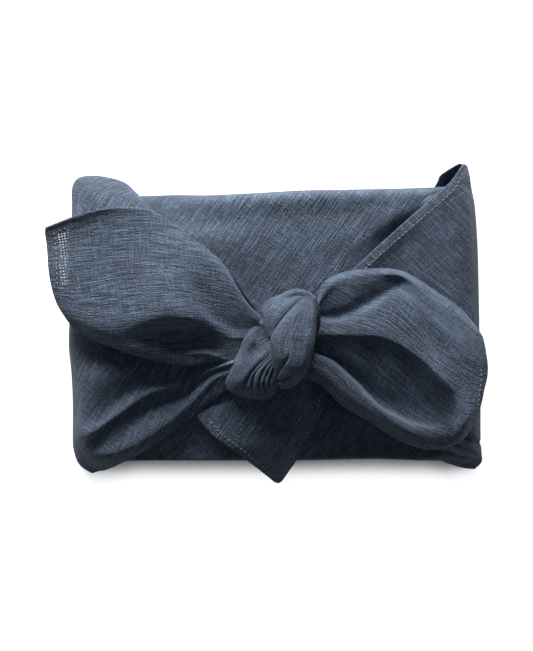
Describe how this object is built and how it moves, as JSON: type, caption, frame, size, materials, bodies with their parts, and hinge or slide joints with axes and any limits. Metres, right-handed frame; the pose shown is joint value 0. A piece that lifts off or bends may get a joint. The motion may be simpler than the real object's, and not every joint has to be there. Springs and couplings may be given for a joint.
{
  "type": "furoshiki wrap",
  "caption": "Flat parcel wrapped in a hemmed square of slub linen, with its side corners tied in a front knot and spread as two broad ends.",
  "frame": {"origin": "on the surface that the parcel rests on, under the middle of its outline", "axes": "+X to the right of the knotted front, +Y to its top edge, +Z out of the front, up from the surface"},
  "size_m": [0.2937, 0.2118, 0.07],
  "materials": {
    "linen": "matt slub linen"
  },
  "bodies": {
    "root": {"furoshiki": "linen"}
  },
  "joints": []
}
